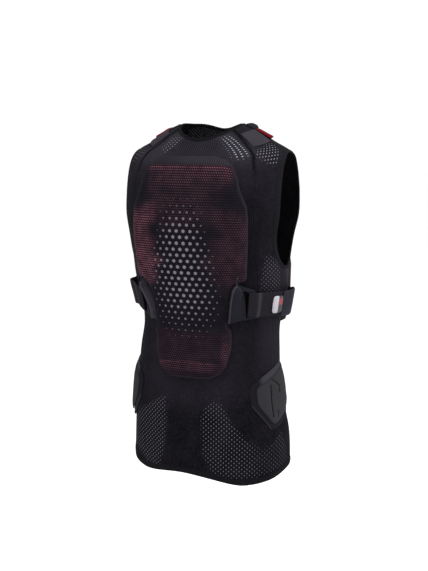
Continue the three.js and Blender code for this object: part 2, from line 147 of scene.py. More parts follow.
# Strength, radius, grid and corners of each part.
EYELETS = [
    (0.4, 0.82, LOW_GRID, LOW_RIGHT),
    (0.46, 0.82, LOW_GRID, LOW_LEFT),
    (0.32, 0.8, FLANK_GRID, FLANK),
    (0.32, 0.8, FLANK_GRID, mirrored(FLANK)),
    (0.9, 1.2, YOKE_GRID, YOKE_RIGHT),
    (0.55, 1.1, YOKE_GRID, YOKE_LEFT),
    (0.55, 1.05, SHOULDER_GRID, SHOULDER),
    (0.18, 1.1, SHOULDER_GRID, mirrored(SHOULDER)),
    (0.45, 1.05, LOW_GRID, FRONT_NECK),
    (0.3, 0.95, LOW_GRID, FRONT_LOW),
]
# Width of one degree of angle at the eyelets and at the straps.
DEGREE = {"eyelets": 2.3, "straps": 1.9}


def half_turn(angle):
    """The angle from -180 to 180."""
    return (angle + 180) % 360 - 180


def lerp(a, b, share):
    return a + (b - a) * share


def smooth(value, low, high):
    share = np.clip((value - low) / (high - low), 0, 1)
    return share * share * (3 - 2 * share)


def between(value, *edges):
    """Rises from 0 to 1 over the first two edges, and falls again over the last two."""
    a, b, c, d = edges
    return smooth(value, a, b) * smooth(-value, -d, -c)


def bell(value, width):
    return np.exp(-((value / width) ** 2))


def quarter_round(share):
    """Profile of a rounded edge, from 0 at the edge to 1."""
    return np.sqrt(np.clip(1 - (1 - np.clip(share, 0, 1)) ** 2, 0, 1))


def unit(vectors):
    return vectors / np.maximum(np.linalg.norm(vectors, axis=-1, keepdims=True), 1e-9)


def joined(*parts):
    """Numbers side by side as vectors."""
    return np.stack(np.broadcast_arrays(*parts), -1)


def spaced(stops, counts):
    """Numbers from stop to stop, with so many steps between each two."""
    parts = [np.linspace(a, b, n + 1)[1:] for a, b, n in zip(stops, stops[1:], counts)]
    return np.concatenate([stops[:1]] + parts)


def run_length(points):
    """Distance along a line of points."""
    return np.concatenate([[0], np.cumsum(np.linalg.norm(np.diff(points, axis=0), axis=1))])


def through(points, knots):
    """A smooth line through rows of points, read at knots, which count the rows."""
    last = len(points) - 1
    i = np.clip(np.floor(knots).astype(int), 0, last - 1)
    a, b, c, d = (points[np.clip(i + n, 0, last)] for n in (-1, 0, 1, 2))
    t = (knots - i).reshape(i.shape + (1,) * (points.ndim - 1))
    bend = 2 * a - 5 * b + 4 * c - d + t * (3 * (b - c) + d - a)
    return b + 0.5 * t * (c - a + t * bend)


def column(name, level):
    return through(SECTIONS[:, COLUMNS.index(name)], np.asarray(level, float))


def place(angle, level):
    f = np.radians(angle)
    side, back, front = (column(name, level) for name in ("side", "back", "front"))
    behind = np.cos(f) > 0
    turn = np.abs(np.cos(f))
    height = side + np.where(behind, (back - side) * turn**1.6, (front - side) * turn**10)
    depth = np.where(behind, column("back_depth", level), column("front_depth", level))
    x = column("sway", level) - column("half", level) * np.sin(f)
    return joined(x, depth * np.cos(f), height)


def outward(angle, level):
    across = place(angle + 1, level) - place(angle - 1, level)
    up = place(angle, np.minimum(level + 0.02, NECK)) - place(angle, level - 0.02)
    return unit(np.cross(across, up))


def skin(angle, level, off=0.0):
    angle, level, off = np.broadcast_arrays(*(np.asarray(x, float) for x in (angle, level, off)))
    return place(angle, level) + outward(angle, level) * off[..., None]


LEVELS = np.linspace(0, NECK, 4201)
SIDE = column("side", LEVELS)
LENGTHS = run_length(place(90, LEVELS))
SHOULDER_ROW = 13
UPPER = LEVELS[LEVELS >= SHOULDER_ROW]

# Distances round each row of the body, and up each line of it.
TURN_STEP, ROW_STEP = 2.0, 0.25
TURNS = np.arange(-180, 361, TURN_STEP)
ROWS = np.arange(0, NECK + 0.1, ROW_STEP)
BODY = place(TURNS, ROWS[:, None])
GIRTH = np.stack([run_length(row) for row in BODY])
GIRTH -= GIRTH[:, TURNS == 0]
RISE = np.stack([run_length(line) for line in BODY.swapaxes(0, 1)], 1)


def level_at_height(z):
    return np.interp(z, SIDE, LEVELS)


def level_at_half(half):
    return np.interp(-np.asarray(half, float), -column("half", UPPER), UPPER)


def length_at(level):
    return np.interp(level, LEVELS, LENGTHS)


def level_at_length(length):
    return np.interp(length, LENGTHS, LEVELS)


def looked_up(table, angle, level):
    angle, level = np.broadcast_arrays(np.asarray(angle, float), np.asarray(level, float))
    a = np.clip((angle - TURNS[0]) / TURN_STEP, 0, len(TURNS) - 1.001)
    b = np.clip(level / ROW_STEP, 0, len(ROWS) - 1.001)
    i, j = b.astype(int), a.astype(int)
    low = lerp(table[i, j], table[i, j + 1], a - j)
    high = lerp(table[i + 1, j], table[i + 1, j + 1], a - j)
    return lerp(low, high, b - i)


def girth(angle, level):
    """Distance round the row from the middle of the back."""
    return looked_up(GIRTH, angle, level)


def on_cloth(angle, level, extra=0.0):
    """Place on the cloth in mm, sideways and up, with a third number."""
    return joined(girth(angle, level), looked_up(RISE, angle, level), extra)


def hem_level(angle, above):
    turn = np.abs(half_turn(angle))
    middle = HEM["middle"] * (1 - smooth(turn, 0, 42))
    side = HEM["side"] * smooth(turn, 36, 108)
    tilt = -HEM["tilt"] * np.sin(np.radians(angle))
    return level_at_height(HEM["bottom"] + HEM["rise"] + middle + side + tilt + above)


def level_below_neck(angle, distance):
    levels = np.linspace(NECK - 6, NECK, 241)
    away = np.linalg.norm(place(TURNS[:, None], levels) - place(TURNS, NECK)[:, None], axis=-1)
    found = [np.interp(-distance, -row, levels) for row in away]
    return np.interp(angle, TURNS, found)


ARM_LOW = length_at(level_at_height(ARMHOLE["bottom"]))
ARM_HIGH = length_at(level_at_height(ARMHOLE["top"]))


def armhole_edge(turn, grow):
    up = (ARM_HIGH - ARM_LOW) / 2 + grow
    level = level_at_length((ARM_HIGH + ARM_LOW) / 2 + up * np.sin(turn))
    y = (ARMHOLE["half"] + grow) * np.cos(turn)
    depth = np.where(y > 0, column("back_depth", level), column("front_depth", level))
    return np.degrees(np.arccos(y / depth)), level


def in_armhole(angle, level, grow):
    """Under 1 inside the armhole's edge, widened by grow."""
    y = place(angle, level)[..., 1] / (ARMHOLE["half"] + grow)
    up = (length_at(level) - (ARM_HIGH + ARM_LOW) / 2) / ((ARM_HIGH - ARM_LOW) / 2 + grow)
    return np.hypot(y, up)


def back_angle(x, level):
    return np.degrees(np.arcsin(np.clip(x / column("half", level), -1, 1)))


def front_angle(x, level):
    return 180 - back_angle(x, level)


def inside(points, polygon):
    """Distance to a polygon's edge, positive inside it."""
    a = np.asarray(polygon, float)
    b = np.roll(a, -1, axis=0)
    p = points[..., None, :]
    along = np.clip(((p - a) * (b - a)).sum(-1) / ((b - a) ** 2).sum(-1), 0, 1)
    near = np.linalg.norm(p - a - along[..., None] * (b - a), axis=-1).min(-1)
    crosses = (a[:, 1] > p[..., 1]) != (b[:, 1] > p[..., 1])
    rise = np.where(b[:, 1] == a[:, 1], 1, b[:, 1] - a[:, 1])
    right = a[:, 0] + (p[..., 1] - a[:, 1]) / rise * (b - a)[:, 0]
    return np.where((crosses & (p[..., 0] < right)).sum(-1) % 2 == 1, near, -near)


def from_line(points, line):
    """Distance to a line of points."""
    far = []
    for a, b in zip(np.array(line, float), np.array(line, float)[1:]):
        along = np.clip(((points - a) * (b - a)).sum(-1) / ((b - a) ** 2).sum(), 0, 1)
        far.append(np.linalg.norm(points - a - along[..., None] * (b - a), axis=-1))
    return np.minimum.reduce(far)


# Meshes: each is (points, faces, source), and source gives the grid place of each point for its attributes.


def quads(a, b, c, d):
    return np.stack([x.ravel() for x in (a, b, c, d)], 1)


def rolled(out, back, loop, inward, rim):
    """Points of a rounded rim from one face round to the other, and the rings of their numbers."""
    middle, half = (out + back) / 2, (out - back) / 2
    push = unit(middle[loop] - middle[inward]) * np.linalg.norm(half[loop], axis=1, keepdims=True)
    points, rings = [], [loop]
    for n in range(1, rim + 1):
        t = math.pi * n / (rim + 1)
        points.append(middle[loop] + half[loop] * math.cos(t) + push * math.sin(t))
        rings.append(2 * len(out) + (n - 1) * len(loop) + np.arange(len(loop)))
    return points, rings + [loop + len(out)]


def slab(outer, inner, rim=3, hole=None, keep=None):
    """A closed solid between two grids, with a rounded rim.

    hole is a range of rows and columns cut through it, and keep tells which points stay.
    """
    rows, columns = outer.shape[:2]
    grid = np.arange(rows * columns).reshape(rows, columns)
    i, j = np.divmod(grid, columns)
    core = (np.clip(i, 1, rows - 2) * columns + np.clip(j, 1, columns - 2)).ravel()
    loop = np.concatenate([grid[0, :-1], grid[:-1, -1], grid[-1, :0:-1], grid[:0:-1, 0]])
    out, back = outer.reshape(-1, 3), inner.reshape(-1, 3)
    shown = np.ones((rows - 1, columns - 1), bool)
    walls = []
    if hole:
        r0, r1, c0, c1 = hole
        shown[r0:r1, c0:c1] = False
        edge = np.concatenate([grid[r0, c0:c1], grid[r0:r1, c1], grid[r1, c1:c0:-1], grid[r1:r0:-1, c0]])
        walls = [quads(edge, np.roll(edge, -1), np.roll(edge, -1) + len(out), edge + len(out))]
    if keep is not None:
        shown &= keep[:-1, :-1] & keep[:-1, 1:] & keep[1:, 1:] & keep[1:, :-1]
    face = quads(grid[:-1, :-1], grid[:-1, 1:], grid[1:, 1:], grid[1:, :-1])[shown.ravel()]
    rim_points, rings = rolled(out, back, loop, core[loop], rim)
    points = np.concatenate([out, back] + rim_points)
    source = np.concatenate([grid.ravel(), grid.ravel()] + [loop] * rim)
    faces = [face, face[:, ::-1] + len(out)] + walls
    faces += [quads(np.roll(a, -1), a, b, np.roll(b, -1)) for a, b in zip(rings, rings[1:])]
    faces = np.concatenate(faces)
    if keep is None:
        return points, faces, source
    faces = faces[keep.ravel()[source][faces].all(1)]
    used, number = np.unique(faces, return_inverse=True)
    return points[used], number.reshape(faces.shape), source[used]


def ring(loops):
    """A closed tube through loops of points, and round again."""
    steps, size = loops.shape[:2]
    grid = np.arange(steps * size).reshape(steps, size)
    n, k = np.roll(grid, -1, 0), np.roll(grid, -1, 1)
    both = np.roll(n, -1, 1)
    return loops.reshape(-1, 3), quads(grid, k, both, n), grid.ravel()


def disc(outer, inner, rim=3):
    """A closed solid between two grids of rings round a middle, with a rounded rim."""
    count, steps = outer.shape[:2]
    grid = np.arange(count * steps).reshape(count, steps)
    out, back = outer.reshape(-1, 3), inner.reshape(-1, 3)
    turn = np.roll(grid, -1, 1)
    face = quads(grid[:-1], turn[:-1], turn[1:], grid[1:])
    rim_points, rings = rolled(out, back, grid[-1], grid[-2], rim)
    faces = [face, face[:, ::-1] + len(out)]
    faces += [quads(a, np.roll(a, -1), np.roll(b, -1), b) for a, b in zip(rings, rings[1:])]
    source = [grid.ravel(), grid.ravel()] + [grid[-1]] * rim
    return np.concatenate([out, back] + rim_points), np.concatenate(faces), np.concatenate(source)


SOFT = []


def make(name, shape, look, slot, nodes=(), corner=60, free=None, **attributes):
    """An object from a mesh, its material and the attributes that the material reads.

    free tells how far each point of a padded piece's outer face may swell, from 0 to 1.
    """
    points, faces, source = shape
    name = name + ".dressed" if nodes else name
    mesh = bpy.data.meshes.new(name)
    mesh.from_pydata((points * 0.001).tolist(), [], faces.tolist())
    mesh.validate()
    mesh.update()
    for key, values in attributes.items():
        values = np.asarray(values, float)
        wide = values.reshape(-1, values.shape[-1])[source]
        data = mesh.attributes.new(key, "FLOAT_VECTOR", "POINT").data
        data.foreach_set("vector", wide.astype(np.float32).ravel())
    mesh.polygons.foreach_set("use_smooth", [True] * len(mesh.polygons))
    mesh.set_sharp_from_angle(angle=math.radians(corner))
    piece = bpy.data.objects.new(name, mesh)
    bpy.context.scene.collection.objects.link(piece)
    if np.einsum("ij,ij->", *outward_sum(mesh)) < 0:
        mesh.flip_normals()
    mesh.materials.append(look.material)
    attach(piece, "root")
    if free is not None:
        SOFT.append((piece, np.asarray(free, float).ravel()))
    if nodes:
        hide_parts(*nodes)
    return piece


def outward_sum(mesh):
    """Centres and area normals of the faces; their products add up to three times the volume."""
    count = len(mesh.polygons)
    centre, normal, area = (np.zeros(count * n, np.float32) for n in (3, 3, 1))
    mesh.polygons.foreach_get("center", centre)
    mesh.polygons.foreach_get("normal", normal)
    mesh.polygons.foreach_get("area", area)
    return centre.reshape(-1, 3), normal.reshape(-1, 3) * area[:, None]


def cords(centre, side, up, radius, corners):
    """Closed round cords; centre, side and up are (cords, rings, 3), and each ring has a radius."""
    turn = np.arange(corners)[:, None] * 2 * math.pi / corners
    spoke = side[:, :, None] * np.cos(turn) + up[:, :, None] * np.sin(turn)
    loops = centre[:, :, None] + radius[:, None, None] * spoke
    grid = np.arange(loops.size // 3).reshape(loops.shape[:3])
    turned = np.roll(grid, -1, 2)
    faces = [quads(grid[:, :-1], turned[:, :-1], turned[:, 1:], grid[:, 1:])]
    for end in (0, -1):
        for n in range(1, corners - 2, 2):
            faces.append(quads(*(grid[:, end, k] for k in (0, n, n + 1, n + 2))))
    return loops.reshape(-1, 3), np.concatenate(faces), grid.ravel()


def stitches(name, path, normal, slot, pitch=3.2, length=2.2, thick=0.32):
    """Short threads along a path of points."""
    along = run_length(path)
    starts = np.arange(pitch / 2, along[-1] - length, pitch)
    share = np.linspace(0, 1, 5)
    at = starts[:, None] + share * length
    centre = np.stack([np.interp(at, along, path[:, k]) for k in range(3)], -1)
    up = unit(np.stack([np.interp(at, along, normal[:, k]) for k in range(3)], -1))
    side = unit(np.cross(unit(np.gradient(centre, axis=1)), up))
    bow = np.sin(np.pi * share)
    centre = centre + up * (thick * (0.9 * bow - 0.35))[:, None]
    shape = cords(centre, side, up, thick * (0.45 + 0.55 * bow), 6)
    return make(name, shape, THREAD, slot, corner=70)


def settle(pressure=60, stiffness=2, most=0.0016, frames=20):
    """Runs the covers of the padded pieces as cloth under pressure from inside, and keeps their last shape.

    most is the farthest that a point may move, in metres.
    """
    scene = bpy.context.scene
    for piece, free in SOFT:
        held = np.ones(len(piece.data.vertices), bool)
        held[: len(free)] = free < 0.3
        piece.vertex_groups.new(name="held").add(np.nonzero(held)[0].tolist(), 1, "REPLACE")
        cloth = piece.modifiers.new("cover", "CLOTH")
        cloth.settings.mass = 0.001
        cloth.settings.tension_stiffness = cloth.settings.compression_stiffness = stiffness
        cloth.settings.shear_stiffness = stiffness / 2
        cloth.settings.bending_stiffness = 0.3
        cloth.settings.use_pressure = True
        cloth.settings.uniform_pressure_force = pressure
        cloth.settings.vertex_group_mass = "held"
        cloth.settings.effector_weights.gravity = 0
        cloth.collision_settings.use_collision = False
        cloth.point_cache.frame_end = frames
    for number in range(1, frames + 1):
        scene.frame_set(number)
    graph = bpy.context.evaluated_depsgraph_get()
    for piece, _ in SOFT:
        rest, swollen = (np.zeros(len(piece.data.vertices) * 3, np.float32) for _ in range(2))
        piece.data.vertices.foreach_get("co", rest)
        piece.evaluated_get(graph).data.vertices.foreach_get("co", swollen)
        move = (swollen - rest).reshape(-1, 3)
        far = np.linalg.norm(move, axis=1, keepdims=True)
        move *= np.minimum(1, most / np.maximum(far, 1e-9))
        piece.modifiers.clear()
        piece.vertex_groups.clear()
        piece.data.vertices.foreach_set("co", rest + move.ravel())
        piece.data.update()
    scene.frame_set(1)


# Materials.


def rgb(*values):
    """A colour from numbers of 0 to 255."""
    shares = (value / 255 for value in values)
    return tuple(s / 12.92 if s <= 0.04045 else ((s + 0.055) / 1.055) ** 2.4 for s in shares) + (1,)


class Look:
    """A material built from nodes."""

    def __init__(self, name, roughness=0.85, sheen=0.0, specular=0.02):
        self.material = bpy.data.materials.new(name)
        self.material.use_nodes = True
        self.tree = self.material.node_tree
        self.shader = self.tree.nodes["Principled BSDF"]
        self.set("Roughness", roughness)
        self.set("Specular IOR Level", specular)
        self.set("Sheen Weight", sheen)
        self.set("Sheen Roughness", 0.45)

    def put(self, socket, value):
        if isinstance(value, bpy.types.NodeSocket):
            self.tree.links.new(value, socket)
        else:
            socket.default_value = value

    def set(self, name, value):
        self.put(self.shader.inputs[name], value)

    def node(self, kind, *values, output=0, **settings):
        node = self.tree.nodes.new("ShaderNode" + kind)
        for key, value in settings.items():
            setattr(node, key, value)
        for socket, value in zip(node.inputs, values):
            if value is not None:
                self.put(socket, value)
        return node.outputs[output]

    def math(self, operation, *values):
        return self.node("Math", *values, operation=operation)

    def add(self, a, b):
        return self.math("ADD", a, b)

    def times(self, a, b):
        return self.math("MULTIPLY", a, b)

    def step(self, value, low, high, start=0.0, end=1.0):
        return self.node("MapRange", value, low, high, start, end, interpolation_type="SMOOTHSTEP")

    def mix(self, share, a, b):
        node = self.tree.nodes.new("ShaderNodeMix")
        node.data_type = "RGBA"
        for k, value in ((0, share), (6, a), (7, b)):
            self.put(node.inputs[k], value)
        return node.outputs[2]

    def parts(self, name):
        """The three numbers of an attribute."""
        found = self.node("Attribute", output=1, attribute_name=name)
        node = self.tree.nodes.new("ShaderNodeSeparateXYZ")
        self.put(node.inputs[0], found)
        return tuple(node.outputs)

    def less(self, a, b):
        return self.math("SUBTRACT", a, b)

    def scale(self, value, by, start):
        return self.math("MULTIPLY_ADD", value, by, start)

    def wave(self, value, pitch):
        """From 0 to 1 and back over each pitch."""
        return self.scale(self.math("SINE", self.times(value, 2 * math.pi / pitch)), 0.5, 0.5)

    def cell(self, u, v, pitch, row):
        """Distance in mm sideways and up from the middle of the nearest cell of a staggered grid."""
        line = self.math("DIVIDE", v, row)
        odd = self.times(self.math("FLOORED_MODULO", self.math("FLOOR", line), 2.0), 0.5)
        across = self.add(self.math("DIVIDE", u, pitch), odd)
        du = self.times(self.less(self.math("FRACT", across), 0.5), pitch)
        dv = self.times(self.less(self.math("FRACT", line), 0.5), row)
        return du, dv

    def dots(self, u, v, pitch, row, radius, soft=0.35):
        du, dv = self.cell(u, v, pitch, row)
        far = self.math("SQRT", self.add(self.times(du, du), self.times(dv, dv)))
        return self.step(far, radius + soft, radius - soft)

    def noise(self, scale, detail=3.0):
        return self.node("TexNoise", self.node("TexCoord", output=3), None, scale, detail)

    def jersey(self, u, v, wale=1.5, course=1.1):
        """Height of knitted loops: two legs of a V in each wale."""
        across = self.math("PINGPONG", u, wale / 2)
        slant = self.scale(across, -0.9, v)
        leg = self.wave(slant, course)
        valley = self.step(across, 0.0, wale * 0.16)
        return self.times(leg, valley)

    def bump(self, height, strength, millimetres):
        node = self.tree.nodes.new("ShaderNodeBump")
        node.inputs["Strength"].default_value = strength
        node.inputs["Distance"].default_value = millimetres * 0.001
        self.put(node.inputs["Height"], height)
        self.set("Normal", node.outputs[0])


def knit_look():
    """Black stretch knit with ribbed parts and open eyelets, under painted light and shade."""
    look = Look("knit")
    u, v, _ = look.parts("fabric")
    open_, rib, tone = look.parts("zone")
    step, row, radius = look.parts("eyelet")
    along, apart, shift = look.parts("grid")
    up = look.less(look.math("FRACT", row), 0.5)
    across = look.less(look.math("FRACT", step), 0.5)
    across = look.times(along, look.scale(shift, up, across))
    up = look.times(look.times(apart, up), 0.68)
    far = look.math("SQRT", look.add(look.times(across, across), look.times(up, up)))
    near = look.less(look.times(radius, look.scale(open_, 0.3, 0.7)), far)
    hole = look.times(look.step(near, -0.35, 0.3), look.step(open_, 0.02, 0.2))
    loops = look.jersey(u, v)
    ribs = look.wave(u, 4.4)
    cloud = look.noise(26.0)
    fine = look.noise(240.0, 2.0)
    # tone, from the zone attribute, is painted light and shade: the base colours run from a painted shaded
    # black to a painted lit grey; the clouds are real unevenness of the knit.
    shade = look.add(tone, look.scale(cloud, 0.4, -0.2))
    shade = look.add(shade, look.scale(fine, 0.5, -0.25))
    base = look.mix(shade, rgb(9, 8, 12), rgb(52, 49, 57))
    # Painted shade: darker in the rib valleys and in the valleys between the knitted loops.
    shaded = look.mix(look.times(rib, look.less(1.0, ribs)), base, rgb(10, 9, 12))
    loop_shaded = look.mix(look.scale(loops, 0.6, 0.4), rgb(6, 6, 8), shaded)
    bright = look.mix(open_, rgb(40, 39, 44), rgb(150, 149, 156))
    look.set("Base Color", look.mix(hole, loop_shaded, bright))
    height = look.add(look.times(loops, 0.3), look.times(look.times(ribs, rib), 0.9))
    height = look.add(height, look.times(hole, -0.7))
    look.bump(height, 0.45, 0.6)
    look.set("Roughness", look.scale(cloud, 0.12, 0.78))
    return look


def band_look(name, dark, light, pitch, across=False):
    """Ribbed elastic or binding cloth; ribs run along the strip, or across it. Its third number paints
    shadow above 0 and a highlight below 0.
    """
    look = Look(name)
    u, v, painted_shadow_and_highlight = look.parts("fabric")
    ribs = look.wave(u if across else v, pitch)
    weave = look.times(look.wave(u, 1.3), look.wave(v, 1.1))
    cloud = look.noise(40.0)
    tone = look.add(look.times(ribs, 0.6), look.times(cloud, 0.4))
    shown = look.mix(tone, rgb(*dark), rgb(*light))
    # Painted highlight below 0, then painted shadow towards black above 0.
    shown = look.mix(look.times(painted_shadow_and_highlight, -1.0), shown, rgb(62, 59, 65))
    look.set("Base Color", look.mix(painted_shadow_and_highlight, shown, rgb(3, 3, 4)))
    look.bump(look.add(ribs, look.times(weave, 0.4)), 0.4, 0.45)
    look.set("Roughness", look.scale(cloud, 0.15, 0.72))
    return look


def cloth_look(name, dark, light, grain=0.9, roughness=0.82):
    """Fine plain cloth laminated over foam; its third number paints a highlight below 0 and shade towards
    black above 0.
    """
    look = Look(name)
    u, v, painted_shade_and_highlight = look.parts("fabric")
    weave = look.times(look.wave(u, grain), look.wave(v, grain))
    cloud = look.noise(34.0)
    worn = look.noise(7.0, 5.0)
    tone = look.add(look.times(cloud, 0.55), look.times(look.step(worn, 0.35, 0.7), 0.45))
    shown = look.mix(tone, rgb(*dark), rgb(*light))
    # Painted highlight where the third number is below 0, painted shade towards black where it is above 0.
    shown = look.mix(look.step(painted_shade_and_highlight, -0.2, -0.8), shown, rgb(58, 56, 63))
    look.set("Base Color", look.mix(look.step(painted_shade_and_highlight, 0.35, 0.8), shown, rgb(3, 3, 4)))
    look.bump(look.add(weave, look.times(cloud, 0.8)), 0.35, 0.35)
    look.set("Roughness", look.scale(worn, 0.16, roughness - 0.08))
    return look


def pad_look():
    """Black mesh over dark red foam, with a ribbed strip and a field of small grey hexagons, and a painted
    highlight along the rim.
    """
    look = Look("mesh_over_foam")
    u, v, edge = look.parts("fabric")
    foam, strip, size = look.parts("zone")
    cloud = look.noise(55.0, 4.0)
    hole = look.dots(look.times(u, 0.75), v, 3.15, 4.3, 0.95, 0.5)
    ribs = look.wave(u, 3.9)
    mottled = look.times(foam, look.step(cloud, 0.32, 0.64, 0.48, 1.1))
    black = look.mix(cloud, rgb(9, 8, 11), rgb(21, 19, 25))
    black = look.mix(look.times(strip, look.scale(ribs, 0.75, 0.25)), black, rgb(44, 41, 47))
    red = look.mix(mottled, black, rgb(47, 17, 26))
    light = look.mix(mottled, rgb(24, 22, 28), rgb(126, 88, 100))
    mesh = look.mix(look.times(hole, look.less(1.0, strip)), red, light)
    du, dv = look.cell(u, v, 13.0, 11.2)
    across, up = look.math("ABSOLUTE", du), look.math("ABSOLUTE", dv)
    slant = look.add(look.times(up, 0.866), look.times(across, 0.5))
    hexagon = look.math("MAXIMUM", slant, across)
    mark = look.step(look.less(look.times(size, 3.1), hexagon), -0.2, 0.25)
    mark = look.times(mark, look.step(size, 0.06, 0.16))
    grey = look.mix(size, rgb(46, 44, 50), rgb(100, 98, 105))
    shown = look.mix(mark, mesh, grey)
    # Near the rim the red gives way to the black cloth, and the lighter grey-purple there is a painted
    # highlight.
    look.set("Base Color", look.mix(edge, shown, rgb(34, 30, 36)))
    height = look.add(look.times(hole, -0.8), look.times(look.times(strip, ribs), 1.0))
    height = look.scale(mark, 0.5, height)
    look.bump(height, 0.4, 0.5)
    look.set("Roughness", look.scale(mark, -0.2, 0.85))
    return look


def thread_look(name, colour):
    look = Look(name, roughness=0.7, sheen=0.05)
    fibre = look.noise(900.0, 2.0)
    look.set("Base Color", look.mix(fibre, rgb(*(c * 0.7 for c in colour)), rgb(*colour)))
    look.bump(fibre, 0.3, 0.2)
    return look


def tab_look():
    """Light grey soft plastic with a red bar, and a dark end."""
    look = Look("grey_rubber", specular=0.3)
    u, v, _ = look.parts("fabric")
    bar = look.times(look.step(u, 0.53, 0.57), look.step(u, 0.93, 0.89))
    bar = look.times(bar, look.times(look.step(v, 0.46, 0.5), look.step(v, 0.9, 0.86)))
    end = look.step(u, 0.46, 0.52)
    cloud = look.noise(60.0, 4.0)
    grey = look.mix(cloud, rgb(138, 135, 142), rgb(166, 163, 170))
    colour = look.mix(end, grey, rgb(34, 34, 40))
    look.set("Base Color", look.mix(bar, colour, rgb(122, 40, 48)))
    look.bump(look.add(cloud, look.times(bar, 1.5)), 0.3, 0.25)
    look.set("Roughness", look.scale(cloud, 0.2, 0.42))
    return look


KNIT = knit_look()
TRIM = band_look("binding", (11, 11, 13), (19, 19, 22), 2.0, across=True)
EDGE = cloth_look("edge", (16, 16, 18), (25, 24, 28), grain=0.8)
PATCH_CLOTH = cloth_look("patch_cloth", (38, 36, 40), (50, 48, 53), grain=0.8)
PAD = pad_look()
WING_CLOTH = cloth_look("wing_cloth", (20, 20, 25), (31, 30, 37), grain=1.1)
PIPING = cloth_look("piping", (36, 34, 40), (50, 48, 55), grain=0.8)
WEBBING = band_look("webbing", (17, 16, 19), (36, 33, 38), 2.4)
STRAP_CLOTH = cloth_look("strap_cloth", (28, 28, 34), (44, 44, 53), grain=0.9)
PAD_CLOTH = cloth_look("pad_cloth", (36, 35, 38), (45, 44, 47), grain=1.0, roughness=0.75)
FLANGE = cloth_look("flange_cloth", (19, 18, 21), (27, 26, 30), grain=1.0)
FLAP_CLOTH = cloth_look("flap_cloth", (24, 23, 27), (36, 35, 39), grain=1.0)
RED = cloth_look("red_cloth", (74, 14, 20), (104, 22, 28), grain=0.9)
GREY = tab_look()
THREAD = thread_look("thread", (30, 29, 33))


# The knit body. Its zones lie between angles in degrees and heights in mm.


def drape(angle, level):
    """Folds and unevenness of the knit, in mm."""
    z = column("side", level)
    turn = half_turn(angle)
    side = np.abs(turn)
    folds = np.sin(2 * np.pi * side / 6.4 + 1.1 * np.sin(z / 38))
    folds = folds + 0.5 * np.sin(2 * np.pi * side / 3.9 + z / 60)
    waist = between(side, 50, 62, 92, 112) * between(z, -480, -430, -362, -350)
    upper = between(side, 40, 47, 55, 66) * between(z, -290, -240, -140, -95)
    lower = smooth(-z, 470, 560)
    creases = np.sin(2 * np.pi * side / 7.5 - z / 22)
    creases = creases * between(side, 33, 41, 52, 64) * between(z, -425, -385, -358, -346)
    swell = 0.5 * np.sin(turn / 9.0 + z / 55) + 0.4 * np.sin(turn / 5.7 - z / 41 + 1)
    hang = np.sin(2 * np.pi * turn / 31 + 0.8 * np.sin(z / 70) + 0.6)
    return folds * (0.3 * waist + 0.2 * upper) + 0.55 * creases + 0.4 * swell + 0.7 * hang * lower


def eyelets(angle, level):
    """Strength of the eyelets, their place in the grid with their radius, and the grid."""
    z = column("side", level)
    u, v, _ = np.moveaxis(on_cloth(angle, level), -1, 0)
    spot = np.stack([(angle + 0 * z) * DEGREE["eyelets"], z], -1)
    strength, place_in, grid = np.zeros(z.shape), np.zeros(z.shape + (3,)), np.ones(z.shape + (3,))
    for strong, radius, (along, apart, slant, shift), polygon in EYELETS:
        far = inside(spot, np.array(polygon, float) * (DEGREE["eyelets"], 1))
        hand = np.sign(polygon[0][0])
        turn = np.radians(slant)
        row = (v * np.cos(turn) - hand * u * np.sin(turn)) / apart
        step = (hand * u * np.cos(turn) + v * np.sin(turn)) / along - shift * row
        here = (far > -9)[..., None]
        place_in = np.where(here, np.stack([step, row, radius + 0 * row], -1), place_in)
        grid = np.where(here, (along, apart, shift), grid)
        strength = np.maximum(strength, strong * smooth(far, -2, 7))
    faint = 1 - 0.5 * smooth(angle, 38, 62) * smooth(-z, 570, 610)
    return strength * faint, place_in, grid


def rib_zone(angle, level):
    """Where the knit is ribbed."""
    z = column("side", level)
    side = np.abs(half_turn(angle))
    yoke = smooth(z, -70, -50) * smooth(-side, -30, -18)
    flank = smooth(side, 56, 64) * between(z, -480, -460, -300, -230)
    beside = between(side, 38, 42, 49, 56) * between(z, -310, -290, -140, -110)
    return np.clip(0.6 * yoke + 0.5 * flank + 0.6 * beside + 0.08, 0, 1)


def painted_light_zone(angle, level, from_seam):
    """Painted light and shade on the knit: lightest on the yoke and the flank where light falls, painted
    shade darkest low in the middle, a painted highlight on a fold near the armhole's front edge, and painted
    shade along the upper seams.
    """
    z = column("side", level)
    side = np.abs(half_turn(angle))
    yoke = smooth(z, -80, -45) * smooth(-side, -62, -40)
    flank = between(side, 54, 66, 104, 124) * between(z, -470, -440, -260, -225)
    back = smooth(-side, -46, -26) * smooth(z, -560, -505)
    # Painted shade along the seam's dip, and a painted highlight on a fold near the armhole's front edge.
    painted_seam_shade = bell(from_seam, 3.6) * smooth(z, -95, -60)
    painted_fold_highlight = bell(side - 87 + 0.32 * (z + 249), 4) * between(z, -302, -288, -256, -242)
    # The rest is painted light and shade: lighter high up and on the yoke and flanks, darker low down.
    tone = 0.22 + 0.5 * painted_fold_highlight - 0.1 * smooth(-z, 470, 560) + 0.55 * yoke + 0.3 * flank
    tone = tone + (0.16 * back + 0.1 * smooth(z, -110, -80)) * (1 - yoke)
    return np.clip(tone * (1 - 0.95 * painted_seam_shade), 0, 1)


def fine_ends(count, near=(0.0, 0.0035, 0.008, 0.014)):
    """Shares from 0 to 1, closer together at both ends."""
    middle = np.linspace(near[-1], 1 - near[-1], count)
    return np.concatenate([near[:-1], middle, 1 - np.array(near[-2::-1])])


